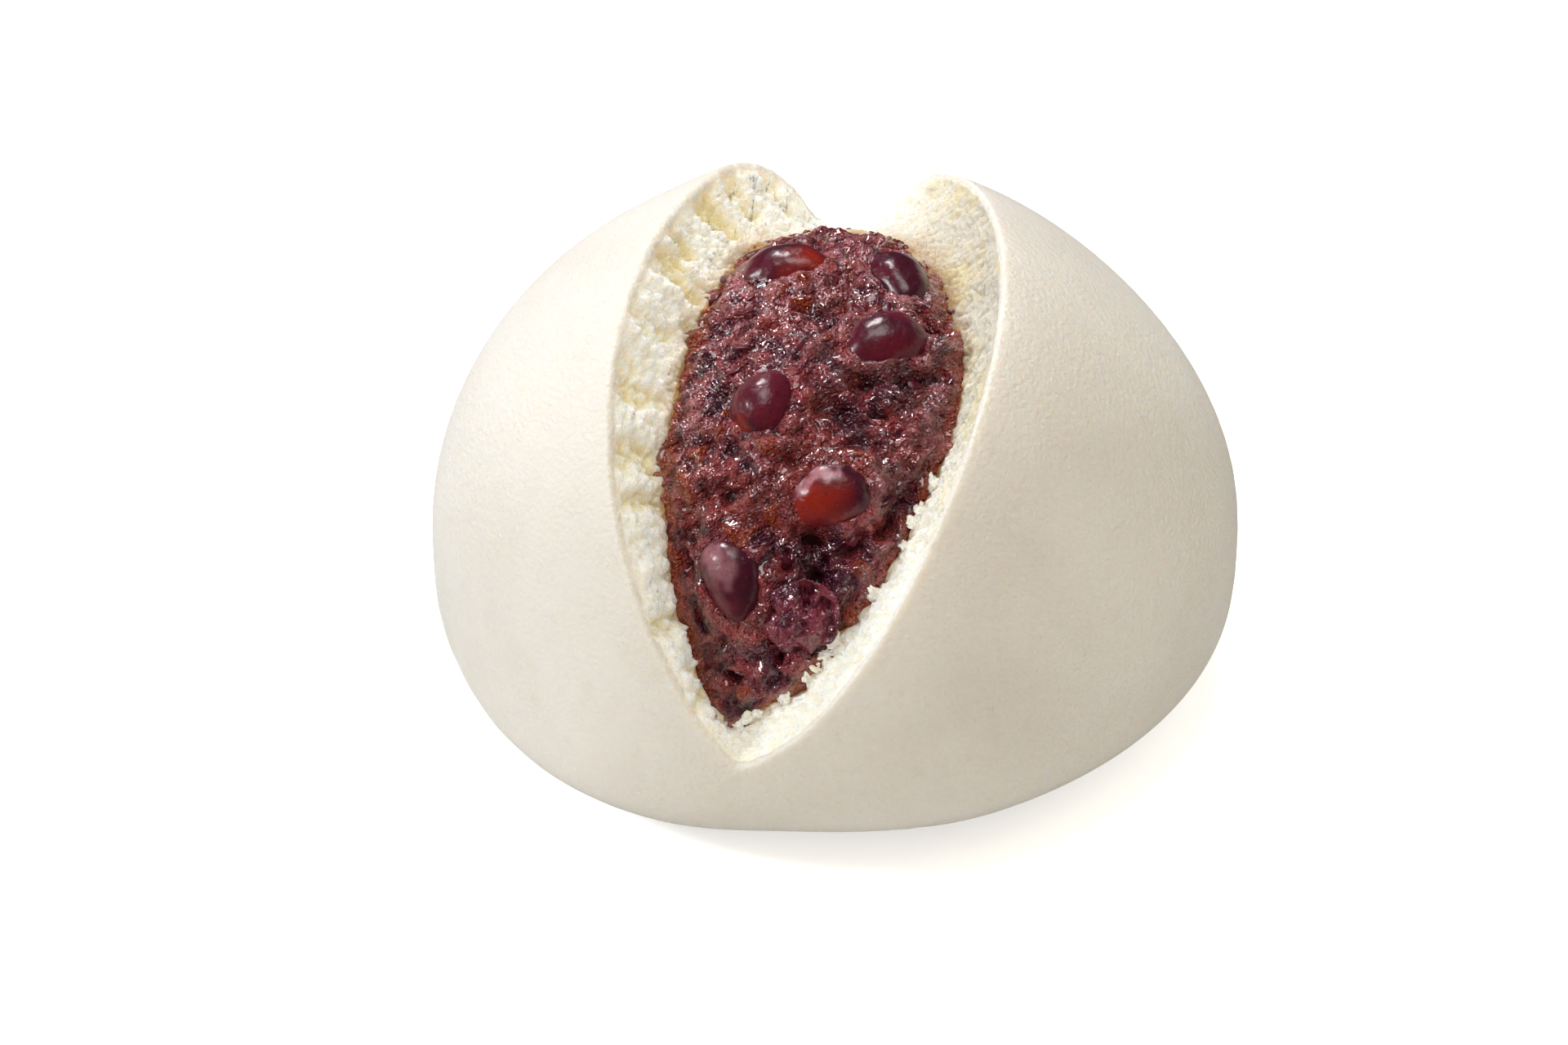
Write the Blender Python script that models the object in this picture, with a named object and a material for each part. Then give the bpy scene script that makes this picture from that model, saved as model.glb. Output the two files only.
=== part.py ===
"""Red bean bun: a white steamed bun torn open over the top, with chunky red bean paste and
whole beans showing in the tear. Metres, +Z up. The origin is the middle of the flat base,
the tear's low end is towards -Y and the bun is widest along X.
"""

import math

import bmesh
import bpy
from mathutils import Matrix, Vector, noise

# The bun's outer form, measured from its centre at the widest level
HALF_WIDTH = 0.0461
HALF_DEPTH = 0.0440
RISE = 0.0412
SINK = 0.0210
UPPER_ROUNDNESS = 1.98
LOWER_ROUNDNESS = 3.74
CENTRE_HEIGHT = 0.0205

# The ball of paste, measured from the same centre
PASTE_FRONT = 0.0365
PASTE_BACK = 0.0310
PASTE_SIDE = 0.0300
PASTE_RISE = 0.0332
PASTE_SINK = 0.0165
PASTE_ROUNDNESS = 2.1
GAP = 0.0003

# Directions from the centre are given in degrees along the tear, up from its front over the
# top, and in degrees across it, to the right. The tear's line is turned from -Y towards -X.
TEAR_TURN = math.radians(12)
FRONT = Vector((-math.sin(TEAR_TURN), -math.cos(TEAR_TURN), 0))
RIGHT = Vector((math.cos(TEAR_TURN), -math.sin(TEAR_TURN), 0))
UP = Vector((0, 0, 1))

# Swells and hollows: along, across, height, reach in degrees
SKIN_SWELLS = (
    (-30, -27, 0.0013, 34),
    (-28, 10, -0.0009, 26),
    (-46, 52, -0.0010, 46),
    (134, 42, -0.0009, 36),
    (124, -17, 0.0009, 19),
    (155, -6, -0.0047, 25),
)
PASTE_SWELLS = (
    (-4, -7, 0.0026, 17),
    (9, 2, 0.0010, 9),
    (112, 0, 0.0004, 28),
)

# Outlines of the tear: its ends and widest level along the tear, how far its middle line lies
# across at each of these, its half width across, and how blunt each quarter is
RIM = {
    "ends": (-4.5, 156),
    "widest": 68,
    "middle": (-2.4, 0.0, -7.2),
    "half_width": 29.4,
    "left": (1.84, 1.66),
    "right": (1.36, 2.2),
}
SEAM = {
    "ends": (-2.5, 117),
    "widest": 66,
    "middle": (-5.0, 2.2, 0.0),
    "half_width": 27.6,
    "left": (1.5, 0.7),
    "right": (1.5, 1.8),
}
PASTE_MIDDLE = (62, 2)

# Relief
WALL_HOLLOW = 0.0017
CRAG_SIZE = 0.0042
CRAG_HEIGHT = 0.0010
LUMP_SIZE = 0.0060
LUMP_HEIGHT = 0.0009

# Mesh stations
COLUMNS = 80
BASE_ROWS = 2
SKIN_ROWS = 15
WALL_ROWS = 6
POCKET_ROWS = 7
PASTE_ROWS = 11
OUTLINE_STEPS = 1440
HALVINGS = 30
PROBE_TURN = 0.01
PROBE_SHARE = 0.02

# Whole beans: along, across, half length, half width, half thickness, depth, turn in degrees
# from lying across the tear
BEANS = {
    "red_bean_1": (92, -10, 0.0050, 0.0035, 0.0032, 0.0013, 8),
    "red_bean_2": (93, 12, 0.0048, 0.0036, 0.0033, 0.0010, -50),
    "red_bean_3": (73, 13, 0.0051, 0.0034, 0.0033, 0.0010, 30),
    "red_bean_4": (55, -6, 0.0043, 0.0039, 0.0036, 0.0008, 80),
    "red_bean_5": (39, 9, 0.0047, 0.0038, 0.0033, 0.0011, 15),
    "red_bean_6": (22, -7, 0.0050, 0.0036, 0.0035, 0.0008, -66),
    "bean_husk": (18, 6, 0.0040, 0.0034, 0.0018, 0.0006, 60),
}
BEAN_BEND = 0.10
BEAN_SEGMENTS = 14
BEAN_RINGS = 9


def clear_scene():
    for old in list(bpy.context.scene.objects):
        bpy.data.objects.remove(old, do_unlink=True)


def make_collection(name):
    collection = bpy.data.collections.new(name)
    bpy.context.scene.collection.children.link(collection)
    return collection


def make_material(name, colour, roughness):
    material = bpy.data.materials.new(name)
    material.use_nodes = True
    shader = material.node_tree.nodes["Principled BSDF"]
    shader.inputs["Base Color"].default_value = (*colour, 1)
    shader.inputs["Roughness"].default_value = roughness
    shader.inputs["Metallic"].default_value = 0
    material.diffuse_color = (*colour, 1)
    return material


def add_object(name, bm, material, collection):
    if bm.calc_volume(signed=True) < 0:
        bmesh.ops.reverse_faces(bm, faces=bm.faces)
    mesh = bpy.data.meshes.new(name)
    bm.to_mesh(mesh)
    bm.free()
    mesh.shade_smooth()
    obj = bpy.data.objects.new(name, mesh)
    if material is not None:
        mesh.materials.append(material)
    collection.objects.link(obj)
    return obj


def towards(along, across):
    """Unit vector for a direction in degrees along and across the tear."""
    a = math.radians(along)
    b = math.radians(across)
    level = FRONT * math.cos(a) + UP * math.sin(a)
    return level * math.cos(b) + RIGHT * math.sin(b)


def swelling(direction, swells):
    total = 0.0
    for along, across, height, reach in swells:
        apart = math.degrees(direction.angle(towards(along, across)))
        if apart < reach:
            total += height * (1 - (apart / reach) ** 2) ** 2
    return total


def skin_radius(direction):
    """From the centre to the skin of the untorn bun, flat where it stands."""
    level = math.hypot(direction.x / HALF_WIDTH, direction.y / HALF_DEPTH)
    if direction.z >= 0:
        power, height = UPPER_ROUNDNESS, RISE
    else:
        power, height = LOWER_ROUNDNESS, SINK
    radius = (level**power + (abs(direction.z) / height) ** power) ** (-1 / power)
    radius += swelling(direction, SKIN_SWELLS)
    if direction.z < 0:
        radius = min(radius, CENTRE_HEIGHT / -direction.z)
    return radius


def paste_radius(direction):
    ahead = direction.dot(FRONT)
    terms = (
        (abs(direction.dot(RIGHT)), PASTE_SIDE),
        (abs(ahead), PASTE_FRONT if ahead > 0 else PASTE_BACK),
        (abs(direction.z), PASTE_RISE if direction.z > 0 else PASTE_SINK),
    )
    total = sum((part / size) ** PASTE_ROUNDNESS for part, size in terms)
    return total ** (-1 / PASTE_ROUNDNESS) + swelling(direction, PASTE_SWELLS)


def outline(turn, tear):
    """Direction of a tear's outline: turn 0 is its front end, half a circle its back end, and
    it runs there by the left and back by the right."""
    reach = -math.cos(turn)
    sweep = math.sin(turn)
    half = 0 if reach < 0 else 1
    along = tear["widest"] + abs(reach) * (tear["ends"][half] - tear["widest"])
    middle = tear["middle"][1] + (tear["middle"][2 * half] - tear["middle"][1]) * reach**2
    side = "left" if sweep > 0 else "right"
    width = tear["half_width"] * abs(sweep) ** tear[side][half]
    return towards(along, middle - math.copysign(width, sweep))


def even_turns(count):
    """Turns that space points evenly along the rim of the tear."""
    turns = [2 * math.pi * i / OUTLINE_STEPS for i in range(OUTLINE_STEPS + 1)]
    points = [outline(turn, RIM) for turn in turns]
    lengths = [0.0]
    for before, after in zip(points, points[1:]):
        lengths.append(lengths[-1] + (after - before).length)
    spaced = []
    step = 0
    for i in range(count):
        wanted = lengths[-1] * i / count
        while lengths[step + 1] < wanted:
            step += 1
        share = (wanted - lengths[step]) / (lengths[step + 1] - lengths[step])
        spaced.append(turns[step] + share * (turns[step + 1] - turns[step]))
    return spaced


def down_from(direction, share):
    """Direction on the way from one direction straight down to the nadir."""
    azimuth = math.atan2(direction.y, direction.x)
    polar = math.acos(direction.z)
    polar += (math.pi - polar) * share
    level = math.sin(polar)
    return Vector((level * math.cos(azimuth), level * math.sin(azimuth), math.cos(polar)))


def base_share(direction):
    """Share of the way down from a direction at which the flat base begins."""
    low, high = 0.0, 1.0
    for _ in range(HALVINGS):
        share = (low + high) / 2
        spot = down_from(direction, share)
        if spot.z < 0 and skin_radius(spot) >= CENTRE_HEIGHT / -spot.z:
            high = share
        else:
            low = share
    return high


def wall_point(turn, share):
    """Point of the torn wall, from the rim at 0 to the paste at 1."""
    rim = outline(turn, RIM)
    seam = outline(turn, SEAM)
    rim_radius = skin_radius(rim)
    seam_radius = paste_radius(seam) + GAP
    direction = rim.slerp(seam, share) if rim.angle(seam) > 1e-6 else rim
    radius = rim_radius + (seam_radius - rim_radius) * share
    return direction * (radius - WALL_HOLLOW * math.sin(math.pi * share))


def craggy_wall_point(turn, share):
    point = wall_point(turn, share)
    along = wall_point(turn + PROBE_TURN, share) - wall_point(turn - PROBE_TURN, share)
    above = wall_point(turn, max(share - PROBE_SHARE, 0))
    below = wall_point(turn, min(share + PROBE_SHARE, 1))
    outward = along.cross(below - above).normalized()
    fade = math.sin(math.pi * share)
    return point + outward * CRAG_HEIGHT * fade * noise.noise(point / CRAG_SIZE)


def dough_point(row, turn):
    """Point of the dough's surface, in rows from the base over the skin, down the torn wall
    and round the inside of the pocket."""
    rim = outline(turn, RIM)
    base = base_share(rim)
    if row <= BASE_ROWS + SKIN_ROWS:
        if row <= BASE_ROWS:
            share = 1 - (1 - base) * row / BASE_ROWS
        else:
            share = base * (1 - (row - BASE_ROWS) / SKIN_ROWS)
        direction = down_from(rim, share)
        return direction * skin_radius(direction)
    row -= BASE_ROWS + SKIN_ROWS
    if row <= WALL_ROWS:
        return craggy_wall_point(turn, row / WALL_ROWS)
    return pocket_point(row - WALL_ROWS, turn, GAP)


def pocket_point(row, turn, clearance):
    direction = down_from(outline(turn, SEAM), row / POCKET_ROWS)
    return direction * (paste_radius(direction) + clearance)


def paste_point(row, turn):
    """Point of the paste's surface, in rows from the middle of the tear out to the seam and
    down to the bottom of the pocket."""
    if row >= PASTE_ROWS:
        return pocket_point(row - PASTE_ROWS, turn, 0)
    share = row / PASTE_ROWS
    direction = towards(*PASTE_MIDDLE).slerp(outline(turn, SEAM), share)
    point = direction * paste_radius(direction)
    lump = noise.noise(point / LUMP_SIZE) * math.cos(math.pi / 2 * share)
    return point + direction * LUMP_HEIGHT * lump


def warped_ball(rows, placing):
    """A ball whose rings and meridians are laid out anew by a placing function."""
    bm = bmesh.new()
    bmesh.ops.create_uvsphere(bm, u_segments=COLUMNS, v_segments=rows, radius=1)
    turns = even_turns(COLUMNS)
    for vert in bm.verts:
        row = round(math.acos(max(-1, min(1, vert.co.z))) / math.pi * rows)
        column = round(math.atan2(vert.co.y, vert.co.x) / (2 * math.pi) * COLUMNS)
        vert.co = placing(row, turns[column % COLUMNS]) + UP * CENTRE_HEIGHT
    return bm


def make_dough(collection):
    rows = BASE_ROWS + SKIN_ROWS + WALL_ROWS + POCKET_ROWS
    bm = warped_ball(rows, dough_point)
    dough = make_material("steamed_dough", (0.93, 0.89, 0.82), 0.6)
    return add_object("bun_dough", bm, dough, collection)


def make_filling(collection, sockets):
    bm = warped_ball(PASTE_ROWS + POCKET_ROWS, paste_point)
    paste = make_material("red_bean_paste", (0.14, 0.035, 0.04), 0.4)
    filling = add_object("red_bean_filling", bm, paste, collection)
    cut = filling.modifiers.new("bean sockets", "BOOLEAN")
    cut.operation = "DIFFERENCE"
    cut.operand_type = "COLLECTION"
    cut.collection = sockets
    return filling


def bean_mesh(length, width, thickness, growth):
    """A bean lying along X with its bulging back up, grown all round by a clearance."""
    bm = bmesh.new()
    bmesh.ops.create_uvsphere(bm, u_segments=BEAN_SEGMENTS, v_segments=BEAN_RINGS, radius=1)
    bmesh.ops.rotate(bm, verts=bm.verts, matrix=Matrix.Rotation(math.pi / 2, 3, "Y"))
    for vert in bm.verts:
        bend = BEAN_BEND * width * (1 - 2 * vert.co.x**2)
        vert.co.x *= length + growth
        vert.co.y = vert.co.y * (width + growth) + bend
        vert.co.z *= thickness + growth
    return bm


def place_bean(obj, along, across, depth, turn):
    outward = towards(along, across)
    level = RIGHT - outward * RIGHT.dot(outward)
    level.normalize()
    basis = Matrix((level, outward.cross(level), outward)).transposed()
    spin = Matrix.Rotation(math.radians(turn), 3, "Z")
    obj.rotation_euler = (basis @ spin).to_euler()
    obj.location = outward * (paste_radius(outward) - depth) + UP * CENTRE_HEIGHT


def make_beans(collection, sockets):
    bean_skin = make_material("bean_skin", (0.11, 0.015, 0.025), 0.25)
    for name, (along, across, length, width, thickness, depth, turn) in BEANS.items():
        bean = add_object(name, bean_mesh(length, width, thickness, 0), bean_skin, collection)
        place_bean(bean, along, across, depth, turn)
        bm = bean_mesh(length, width, thickness, GAP)
        socket = add_object(f"{name}_socket", bm, None, sockets)
        place_bean(socket, along, across, depth, turn)
        socket.hide_render = True
        socket.display_type = "WIRE"


def main():
    clear_scene()
    bun = make_collection("red_bean_bun")
    sockets = make_collection("bean_sockets")
    make_dough(bun)
    make_beans(bun, sockets)
    make_filling(bun, sockets)


main()
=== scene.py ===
"""Red bean bun, dressed: white steamed skin, torn fluffy crumb, wet grainy bean paste with
glossy whole beans, on a pale floor under soft light. Metres, +Z up, as the frame."""

import itertools
import math

import bmesh
import bpy
import numpy as np
from mathutils import Matrix, Vector


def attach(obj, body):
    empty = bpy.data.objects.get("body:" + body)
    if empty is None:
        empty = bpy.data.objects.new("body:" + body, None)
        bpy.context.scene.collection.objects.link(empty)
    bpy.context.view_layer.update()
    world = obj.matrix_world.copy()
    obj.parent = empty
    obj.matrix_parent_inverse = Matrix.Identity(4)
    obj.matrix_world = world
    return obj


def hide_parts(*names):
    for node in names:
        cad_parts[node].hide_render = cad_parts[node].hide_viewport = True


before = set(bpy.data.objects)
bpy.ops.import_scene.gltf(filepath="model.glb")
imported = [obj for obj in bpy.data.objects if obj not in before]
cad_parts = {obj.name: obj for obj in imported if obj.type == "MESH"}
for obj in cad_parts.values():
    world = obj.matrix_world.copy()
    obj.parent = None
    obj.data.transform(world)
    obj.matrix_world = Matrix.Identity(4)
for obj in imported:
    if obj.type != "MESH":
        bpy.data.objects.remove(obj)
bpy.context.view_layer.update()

MM = 0.001
JOIN = 1e-7

# The way the paste was smeared, to the right and up the tear, and how much
STREAK = np.array((0.82, 0.32, 0.475))
STREAK_SHARE = 0.6

# The bun's outer form, measured from its centre at the widest level
HALF_WIDTH = 46.1 * MM
HALF_DEPTH = 44.0 * MM
RISE = 41.2 * MM
SINK = 21.0 * MM
UPPER_ROUNDNESS = 1.98
LOWER_ROUNDNESS = 3.74
CENTRE_HEIGHT = 20.5 * MM
CENTRE = np.array((0, 0, CENTRE_HEIGHT))

# The ball of paste, measured from the same centre
PASTE_FRONT = 36.5 * MM
PASTE_BACK = 31.0 * MM
PASTE_SIDE = 30.0 * MM
PASTE_RISE = 33.2 * MM
PASTE_SINK = 16.5 * MM
PASTE_ROUNDNESS = 2.1
GAP = 0.3 * MM

# Directions from the centre: degrees along the tear, up from its front, and across it
TEAR_TURN = math.radians(12)
FRONT = np.array((-math.sin(TEAR_TURN), -math.cos(TEAR_TURN), 0))
RIGHT = np.array((math.cos(TEAR_TURN), -math.sin(TEAR_TURN), 0))
UP = np.array((0.0, 0.0, 1.0))

# Swells and hollows: along, across, height, reach in degrees
SKIN_SWELLS = (
    (-30, -27, 1.3 * MM, 34),
    (-28, 10, -0.9 * MM, 26),
    (-46, 52, -1.0 * MM, 46),
    (134, 42, -0.9 * MM, 36),
    (124, -17, 0.9 * MM, 19),
    (155, -6, -4.7 * MM, 25),
)
PASTE_SWELLS = (
    (-4, -7, 2.6 * MM, 17),
    (9, 2, 1.0 * MM, 9),
    (112, 0, 0.4 * MM, 28),
)

# Outlines of the tear: ends and widest level along it, its middle line across at each, half
# width across, and how blunt each quarter is
RIM = {
    "ends": (-4.5, 156),
    "widest": 68,
    "middle": (-2.4, 0.0, -7.2),
    "half_width": 29.4,
    "left": (1.84, 1.66),
    "right": (1.36, 2.2),
}
SEAM = {
    "ends": (-2.5, 117),
    "widest": 66,
    "middle": (-5.0, 2.2, 0.0),
    "half_width": 27.6,
    "left": (1.5, 0.7),
    "right": (1.5, 1.8),
}

# Smooth and cellular noise

SCATTER_MIX = np.array(((127.1, 269.5, 113.5), (311.7, 183.3, 271.9), (74.7, 246.1, 124.6)))
SCATTER_GAIN = 43758.5453


def scatter(cells, salt):
    """Three even random numbers from 0 to 1 for each whole-number cell."""
    spun = np.sin(cells @ SCATTER_MIX + salt) * SCATTER_GAIN
    return spun - np.floor(spun)


def waves(points, size, salt=0.0):
    """Smooth noise from about -1 to 1, with swells about as wide as size. Each salt gives
    another pattern."""
    place = points / size
    cell = np.floor(place)
    part = place - cell
    blend = part * part * (3 - 2 * part)
    total = np.zeros(points.shape[:-1])
    for corner in itertools.product((0, 1), repeat=3):
        slope = 2 * scatter(cell + corner, salt) - 1
        weight = np.where(corner, blend, 1 - blend).prod(-1)
        total += weight * (slope * (part - corner)).sum(-1)
    return 1.5 * total


def nearest_cells(points, size, salt=0.0):
    """Distances to the nearest two of some scattered centres, and the nearest one's chance."""
    place = points / size
    cell = np.floor(place)
    first = np.full(points.shape[:-1], 9.0)
    second = first.copy()
    chance = np.zeros_like(first)
    for step in itertools.product((-1, 0, 1), repeat=3):
        offset = scatter(cell + step, salt)
        apart = np.linalg.norm(cell + step + offset - place, axis=-1)
        closer = apart < first
        second = np.where(closer, first, np.minimum(second, apart))
        chance = np.where(closer, offset[..., 0], chance)
        first = np.where(closer, apart, first)
    return first, second, chance


def billows(points, size, salt=0.0):
    """Rounded lumps with sharp creases between them, about -0.5 in a crease to 0.5 on a lump."""
    return np.minimum(1, 2.4 * np.abs(waves(points, size, salt))) - 0.5


def bent(points, size, amount, salt=0.0):
    """Points pushed about by smooth noise."""
    push = [waves(points, size, salt + 5.1 * axis) for axis in range(3)]
    return points + amount * np.stack(push, -1)


def streaked(points):
    """Points closer together along the way the paste was smeared, so that noise runs long."""
    along = points @ STREAK
    return points - STREAK_SHARE * along[..., None] * STREAK


def ease(value, low, high):
    """0 up to low and 1 from high, with a smooth step between."""
    share = np.clip((value - low) / (high - low), 0, 1)
    return share * share * (3 - 2 * share)


# The bun's own shape

def towards(along, across):
    """Unit vectors for directions in degrees along and across the tear."""
    a = np.radians(np.asarray(along, float))[..., None]
    b = np.radians(np.asarray(across, float))[..., None]
    return (FRONT * np.cos(a) + UP * np.sin(a)) * np.cos(b) + RIGHT * np.sin(b)


def degrees_apart(direction, along, across):
    """Degrees from directions to a spot on the tear."""
    return np.degrees(np.arccos(np.clip(direction @ towards(along, across), -1, 1)))


def swelling(direction, swells):
    """How far swells and hollows push the form out."""
    total = np.zeros(direction.shape[:-1])
    for along, across, height, reach in swells:
        apart = degrees_apart(direction, along, across)
        total += height * np.clip(1 - (apart / reach) ** 2, 0, None) ** 2
    return total


def skin_radius(direction):
    """From the centre to the skin of the untorn bun, flat where it stands."""
    level = np.hypot(direction[..., 0] / HALF_WIDTH, direction[..., 1] / HALF_DEPTH)
    rise = direction[..., 2]
    power = np.where(rise >= 0, UPPER_ROUNDNESS, LOWER_ROUNDNESS)
    height = np.where(rise >= 0, RISE, SINK)
    radius = (level**power + (np.abs(rise) / height) ** power) ** (-1 / power)
    radius = radius + swelling(direction, SKIN_SWELLS)
    floor = CENTRE_HEIGHT / np.maximum(-rise, 1e-9)
    return np.where(rise < 0, np.minimum(radius, floor), radius)


def paste_radius(direction):
    """From the centre to the surface of the ball of paste."""
    ahead = direction @ FRONT
    rise = direction[..., 2]
    total = (np.abs(direction @ RIGHT) / PASTE_SIDE) ** PASTE_ROUNDNESS
    total += (np.abs(ahead) / np.where(ahead > 0, PASTE_FRONT, PASTE_BACK)) ** PASTE_ROUNDNESS
    total += (np.abs(rise) / np.where(rise > 0, PASTE_RISE, PASTE_SINK)) ** PASTE_ROUNDNESS
    return total ** (-1 / PASTE_ROUNDNESS) + swelling(direction, PASTE_SWELLS)


def outline(turn, tear):
    """Directions along a tear's outline: turn 0 is its front end, pi its back end, out by the
    left and home by the right."""
    reach = -np.cos(turn)
    sweep = np.sin(turn)
    behind = reach >= 0
    end = np.where(behind, tear["ends"][1], tear["ends"][0])
    along = tear["widest"] + np.abs(reach) * (end - tear["widest"])
    start, centre, finish = tear["middle"]
    middle = centre + (np.where(behind, finish, start) - centre) * reach**2
    left = np.where(behind, tear["left"][1], tear["left"][0])
    right = np.where(behind, tear["right"][1], tear["right"][0])
    blunt = np.where(sweep > 0, left, right)
    width = tear["half_width"] * np.abs(sweep) ** blunt
    return towards(along, middle - np.sign(sweep) * width)


def even_turns(count):
    """Turns of the rim's outline that lie the same distance apart on it."""
    turns = np.linspace(0, 2 * np.pi, 8 * count + 1)
    steps = np.linalg.norm(np.diff(outline(turns, RIM), axis=0), axis=1)
    lengths = np.concatenate(((0,), np.cumsum(steps)))
    wanted = lengths[-1] * np.arange(count) / count
    return np.interp(wanted, lengths, turns)


def down_from(direction, share):
    """Directions on the way straight down to the nadir."""
    azimuth = np.arctan2(direction[..., 1], direction[..., 0])
    polar = np.arccos(direction[..., 2])
    polar = polar + (math.pi - polar) * share
    level = np.sin(polar)
    return np.stack((level * np.cos(azimuth), level * np.sin(azimuth), np.cos(polar)), -1)


def slerp(start, end, share):
    """Directions between two, and past them for a share below 0."""
    angle = np.arccos(np.clip((start * end).sum(-1), -1, 1))[..., None]
    angle = np.maximum(angle, 1e-5)
    share = np.asarray(share)[..., None]
    return (np.sin((1 - share) * angle) * start + np.sin(share * angle) * end) / np.sin(angle)


# The dough's mesh, in columns round the tear and rows from the base to the bottom of the
# pocket; the wall runs on past the seam into the paste by a share
DOUGH_COLUMNS = 640
BASE_ROWS = 3
SKIN_ROWS = 34
LIP_ROWS = 6
WALL_ROWS = 88
POCKET_ROWS = 7
WALL_HOLLOW = 1.7 * MM
TUCK = 1.2
HALVINGS = 30
LEFT_LIP = 0.9 * MM
RIGHT_LIP = 0.5 * MM
LEFT_RAGGED = 0.08
RIGHT_RAGGED = 0.012

# The rim's distance from the centre in millimetres, for the noise along it, and the lip's rows
# as a share of the wall
RIM_REACH = 40
LIP_SHARE = 0.04

# Least share of painted shade, a darker cream colour, on the right wall, how far it smooths the
# crumb, and how far the crumb flattens at the seam
SHADED_CREAM_LEAST = 0.08
SHADED_CREAM_CALM = 0.45
SEAM_CALM = 0.6

# Heights in the torn crumb in millimetres, from its wide swells to its grain, and its pits
CRUMB_SWELL = 0.7
CRUMB_LUMP = 0.5
CRUMB_NUB = 0.5
CRUMB_GRAIN = 0.32
CRUMB_PIT = 0.7

# Recesses in the torn crumb, and two lumps: along, across, depth in millimetres, reach in
# degrees
CRUMB_RECESSES = (
    (108, -26, 1.9, 6),
    (85, -28.5, 1.6, 5),
    (42, -26.5, 1.2, 4.5),
    (93, -29, 1.2, 3.5),
    (133, -19, 1.0, 5),
    (119, -23, 1.3, 4.5),
    (70, -29, 1.0, 3),
    (54, -27.5, 1.0, 3),
    (34, -24, 1.0, 3),
    (125, 11, 0.7, 6),
    (108, 20, 0.6, 4),
    (14, -16, 0.9, 2.5),
    (3, -9, 0.8, 2),
    (81, -29, -0.8, 4),
    (105, -23, -0.9, 3.5),
)


def crumb_relief(points, direction):
    """Height of the torn crumb in millimetres."""
    moved = bent(points, 3.0, 1.2)
    height = CRUMB_SWELL * waves(moved, 4.8, 1)
    height += CRUMB_LUMP * billows(moved, 2.3, 2)
    height += CRUMB_NUB * billows(bent(points, 1.2, 0.5, 40), 1.15, 3)
    height += CRUMB_GRAIN * billows(bent(points, 0.8, 0.25, 45), 0.65, 4)
    pits = waves(moved, 3.6, 5) + 0.4 * waves(points, 1.3, 6)
    height -= CRUMB_PIT * ease(pits, 0.24, 0.62)
    for along, across, depth, reach in CRUMB_RECESSES:
        apart = degrees_apart(direction, along, across) + 1.8 * waves(points, 2.2, 8)
        height -= depth * (1 - ease(apart, 0.35 * reach, reach))
    return height


def surface_normals(grid):
    """Outward unit normals of a grid that closes on itself from side to side."""
    around = np.roll(grid, -1, axis=1) - np.roll(grid, 1, axis=1)
    down = np.gradient(grid, axis=0)
    normal = np.cross(down, around)
    return normal / np.maximum(np.linalg.norm(normal, axis=-1, keepdims=True), 1e-12)


def base_share(direction):
    """How far down from some directions the flat of the base begins."""
    low = np.zeros(len(direction))
    high = np.ones(len(direction))
    for _ in range(HALVINGS):
        share = (low + high) / 2
        spot = down_from(direction, share)
        flat = (spot[:, 2] < 0) & (skin_radius(spot) * -spot[:, 2] >= CENTRE_HEIGHT - 1e-9)
        high = np.where(flat, share, high)
        low = np.where(flat, low, share)
    return high


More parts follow.
